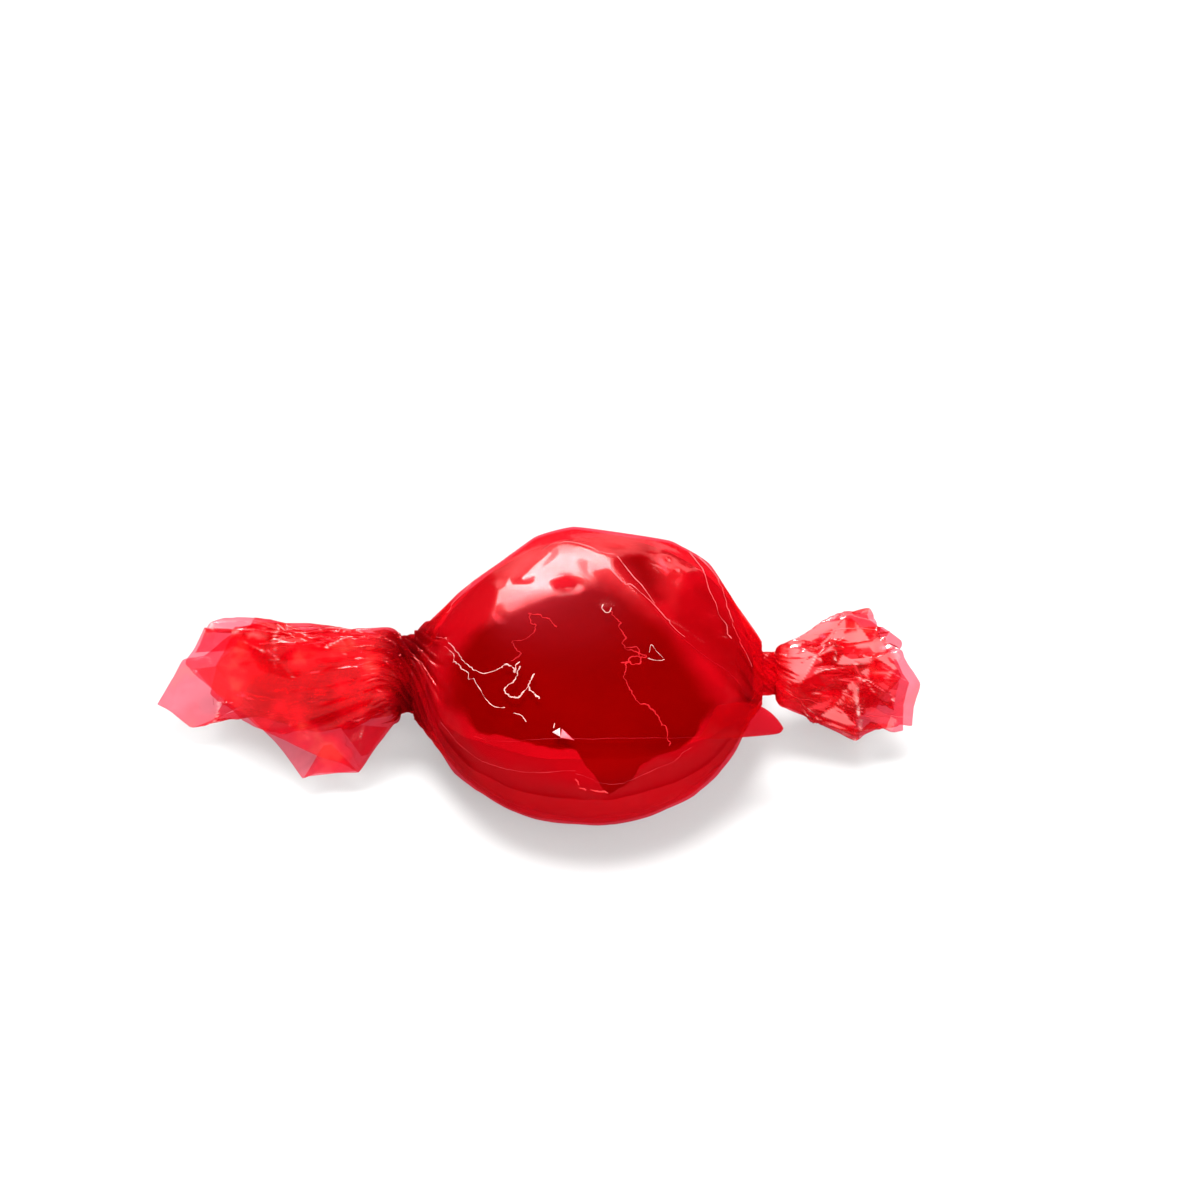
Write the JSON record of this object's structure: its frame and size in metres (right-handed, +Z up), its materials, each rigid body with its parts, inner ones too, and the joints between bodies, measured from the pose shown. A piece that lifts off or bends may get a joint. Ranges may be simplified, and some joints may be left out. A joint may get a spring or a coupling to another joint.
{
  "type": "cinnamon hard candy",
  "caption": "Button-shaped hard candy in clear red film, gathered and twisted at both ends into pleated fans, with a loose corner of film at the front.",
  "frame": {"origin": "centre of the flat spot that the candy rests on", "axes": "+X along the twist axis towards the shorter, crumpled fan; +Y away from the side with the film's free edge; +Z up, through the candy's dome"},
  "size_m": [0.0575, 0.0258, 0.0136],
  "materials": {
    "film": "clear red film, glossy and creased",
    "candy": "boiled sugar, deep red, smooth and glossy"
  },
  "bodies": {
    "root": {"wrapped_sweet": "film"}
  },
  "joints": []
}
